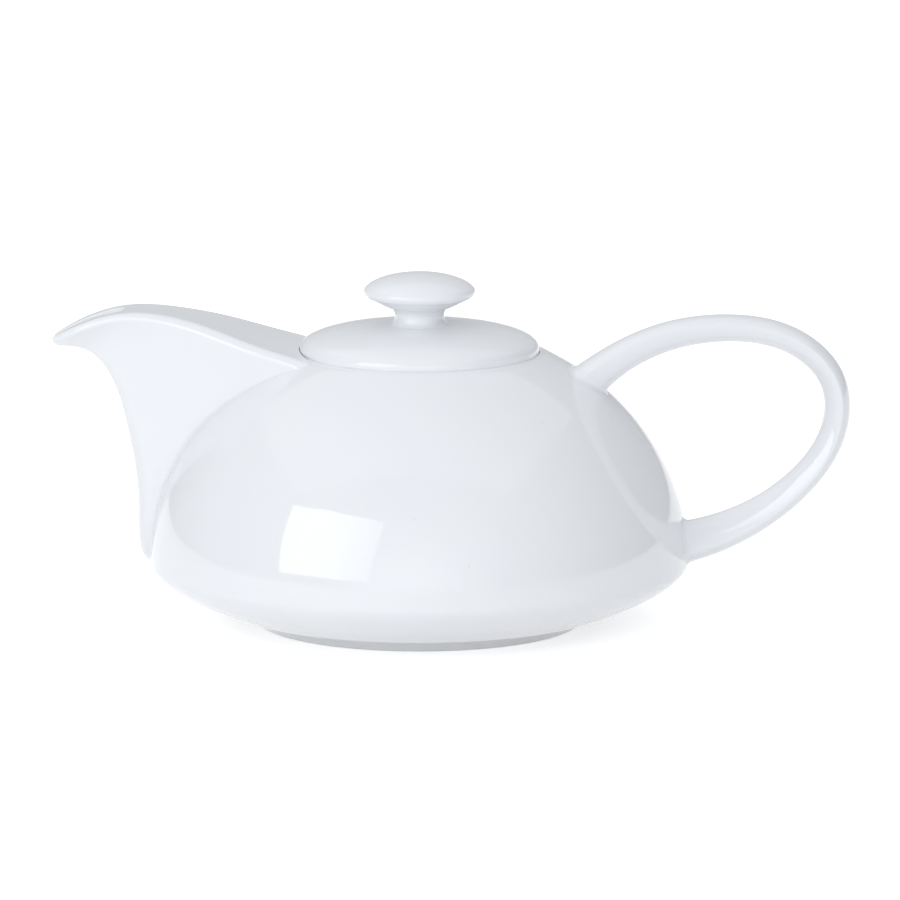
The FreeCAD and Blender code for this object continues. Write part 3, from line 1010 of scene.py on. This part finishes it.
class TEAPOT_OT_knob(Operator):
    """Turn the lid's mushroom knob"""

    bl_idname = "teapot.knob"
    bl_label = "Knob"

    def execute(self, context):
        scene = context.scene
        piece = make_knob(scene.teapot_pot, scene.teapot_lid)
        finish_piece(piece, "lid_knob", "lid_assembly", glazed_porcelain(scene.teapot_look))
        return {"FINISHED"}


def place(thing, azimuth, elevation, distance, aim_height):
    """Puts a camera, lamp or panel round the pot, facing it. The azimuth is from the front to the handle."""
    level = math.cos(elevation)
    back = Vector((math.sin(azimuth) * level, -math.cos(azimuth) * level, math.sin(elevation)))
    thing.location = Vector((0, 0, aim_height)) + back * distance
    thing.rotation_euler = back.to_track_quat("Z", "Y").to_euler()
    bpy.context.scene.collection.objects.link(thing)


def make_camera(stage):
    camera = bpy.data.cameras.new("Camera")
    camera.lens = camera.sensor_width * stage.distance / stage.frame_width
    camera.shift_x = stage.shift_x
    camera.shift_y = stage.shift_y
    camera.clip_end = 30.0
    viewer = bpy.data.objects.new("Camera", camera)
    place(viewer, stage.azimuth, stage.elevation, stage.distance, stage.aim_height)
    bpy.context.scene.camera = viewer


def make_lamp(name, width, height, power, tint):
    light = bpy.data.lights.new(name, "AREA")
    light.color = tint
    light.shape = "RECTANGLE"
    light.size = width
    light.size_y = height
    light.energy = power
    return bpy.data.objects.new(name, light)


def softbox_cloth(level):
    """Woven nylon diffuser lit from behind: bright, a little dimmer and mottled to one side."""
    material, nodes = empty_material("Lit nylon diffuser")
    where = add(nodes, "ShaderNodeTexCoord").outputs["Object"]
    mottle_size = 70 * MM
    fade_start, fade_end = 50 * MM, 400 * MM
    mottle = add(nodes, "ShaderNodeTexNoise", {"Vector": where, "Scale": 1 / mottle_size, "Detail": 3.0})
    across = add(nodes, "ShaderNodeSeparateXYZ", {0: where})
    fade = add(nodes, "ShaderNodeMapRange", {
        "Value": across.outputs["X"], "From Min": fade_start, "From Max": fade_end,
        "To Min": 0.0, "To Max": 0.9,
    })
    loss = add(nodes, "ShaderNodeMath", {0: fade.outputs["Result"], 1: mottle.outputs["Fac"]},
               operation="MULTIPLY")
    keep = add(nodes, "ShaderNodeMath", {0: 1.0, 1: loss.outputs[0]}, operation="SUBTRACT")
    strength = add(nodes, "ShaderNodeMath", {0: keep.outputs[0], 1: level}, operation="MULTIPLY")
    glow = add(nodes, "ShaderNodeEmission", {"Color": (1, 1, 1, 1), "Strength": strength.outputs[0]})
    add(nodes, "ShaderNodeOutputMaterial", {"Surface": glow.outputs[0]})
    return material


def flat_panel(name, width, height, material):
    half, tall = width / 2, height / 2
    mesh = bpy.data.meshes.new(name)
    corners = [(-half, -tall, 0), (half, -tall, 0), (half, tall, 0), (-half, tall, 0)]
    mesh.from_pydata(corners, [], [(0, 1, 2, 3)])
    mesh.materials.append(material)
    panel = bpy.data.objects.new(name, mesh)
    return panel


def white_table(stage):
    """Matt white laminate: pale and even. Seen directly or in the glaze, it glows to the backdrop's white."""
    material, nodes = empty_material("Matt white laminate")
    surface = add(nodes, "ShaderNodeBsdfDiffuse", {"Color": (*stage.floor, 1)})
    path = add(nodes, "ShaderNodeLightPath")
    seen = add(nodes, "ShaderNodeMath", {0: path.outputs["Is Camera Ray"], 1: path.outputs["Is Glossy Ray"]},
               operation="MAXIMUM")
    seen = add(nodes, "ShaderNodeMath", {0: seen.outputs[0], 1: path.outputs["Is Transmission Ray"]},
               operation="MAXIMUM")
    lift = add(nodes, "ShaderNodeMapRange", {
        "Value": seen.outputs[0], "To Min": TABLE_GLOW, "To Max": TABLE_GLOW_SEEN,
    })
    glow = add(nodes, "ShaderNodeEmission", {"Color": (1, 1, 1, 1), "Strength": lift.outputs["Result"]})
    both = add(nodes, "ShaderNodeAddShader", {0: surface.outputs[0], 1: glow.outputs[0]})
    add(nodes, "ShaderNodeOutputMaterial", {"Surface": both.outputs[0]})
    return material


def make_world(stage):
    """Studio light from all round: broad lobes, and a narrower one low in front."""
    world = bpy.data.worlds.new("Studio")
    world.use_nodes = True
    nodes = world.node_tree.nodes
    nodes.clear()
    where = add(nodes, "ShaderNodeTexCoord").outputs["Generated"]
    total = ROOM_LEVEL
    # Each lobe's level, narrowness and direction
    lobes = (
        (stage.above, 2.0, (0.0, 0.0, 1.0)),
        (stage.front, 6.0, (0.0, -1.0, -0.05)),
        (stage.left, 2.0, (-0.99, 0.0, 0.15)),
        (stage.right, 2.0, (0.68, -0.70, 0.20)),
        (stage.behind, 2.0, (0.0, 0.99, 0.15)),
    )
    for level, narrowness, direction in lobes:
        facing = add(nodes, "ShaderNodeVectorMath", {0: where, 1: direction}, operation="DOT_PRODUCT")
        ahead = add(nodes, "ShaderNodeMath", {0: facing.outputs["Value"], 1: 0.0}, operation="MAXIMUM")
        lobe = add(nodes, "ShaderNodeMath", {0: ahead.outputs[0], 1: narrowness}, operation="POWER")
        total = add(nodes, "ShaderNodeMath", {0: lobe.outputs[0], 1: level, 2: total},
                    operation="MULTIPLY_ADD").outputs[0]
    sky = add(nodes, "ShaderNodeBackground", {"Color": (*stage.light, 1), "Strength": total})
    add(nodes, "ShaderNodeOutputWorld", {"Surface": sky.outputs[0]})
    bpy.context.scene.world = world


class TEAPOT_OT_stage(Operator):
    """Set the table, the lamps and the camera"""

    bl_idname = "teapot.stage"
    bl_label = "Stage"

    def execute(self, context):
        stage = context.scene.teapot_stage
        table = flat_panel("table", TABLE_SIDE, TABLE_SIDE, white_table(stage))
        context.scene.collection.objects.link(table)

        # The softbox lights the pot as a lamp and shows in the glaze as a panel
        key = make_lamp("Key light", *SOFTBOX_SIZE, stage.key, stage.light)
        key.visible_glossy = False
        softbox = flat_panel("softbox", *SOFTBOX_SIZE, softbox_cloth(stage.glare))
        softbox.visible_camera = False
        softbox.visible_diffuse = False
        softbox.visible_shadow = False
        for thing in (key, softbox):
            place(thing, SOFTBOX_AZIMUTH, SOFTBOX_ELEVATION, SOFTBOX_DISTANCE, SOFTBOX_AIM)

        overhead = make_lamp("Overhead panel", *OVERHEAD_SIZE, stage.overhead, stage.light)
        overhead.location = OVERHEAD_PLACE
        context.scene.collection.objects.link(overhead)
        make_world(stage)
        make_camera(stage)
        context.scene.view_settings.view_transform = "Standard"
        return {"FINISHED"}


class TEAPOT_PT_panel(Panel):
    """Sizes, looks and makers of the teapot"""

    bl_idname = "TEAPOT_PT_panel"
    bl_label = "Porcelain teapot"
    bl_space_type = "VIEW_3D"
    bl_region_type = "UI"
    bl_category = "Teapot"

    def draw(self, context):
        for group in GROUPS:
            box = self.layout.box()
            sizes = getattr(context.scene, group)
            for name in sizes.__annotations__:
                box.prop(sizes, name)
        for maker in MAKERS:
            self.layout.operator(maker.bl_idname)


GROUPS = {
    "teapot_pot": PotSizes,
    "teapot_lid": LidSizes,
    "teapot_spout": SpoutSizes,
    "teapot_handle": HandleSizes,
    "teapot_look": PorcelainLook,
    "teapot_stage": StageLook,
}
MAKERS = (TEAPOT_OT_pot, TEAPOT_OT_spout, TEAPOT_OT_handle, TEAPOT_OT_lid, TEAPOT_OT_knob, TEAPOT_OT_stage)


def register():
    for group in GROUPS.values():
        bpy.utils.register_class(group)
    for cls in (*MAKERS, TEAPOT_PT_panel):
        bpy.utils.register_class(cls)
    for name, group in GROUPS.items():
        setattr(bpy.types.Scene, name, PointerProperty(type=group))


def unregister():
    for name in GROUPS:
        delattr(bpy.types.Scene, name)
    for cls in (TEAPOT_PT_panel, *reversed(MAKERS)):
        bpy.utils.unregister_class(cls)
    for group in GROUPS.values():
        bpy.utils.unregister_class(group)


def main():
    register()
    bpy.ops.teapot.pot()
    bpy.ops.teapot.spout()
    bpy.ops.teapot.handle()
    bpy.ops.teapot.lid()
    bpy.ops.teapot.knob()
    bpy.ops.teapot.stage()


if __name__ == "__main__":
    main()
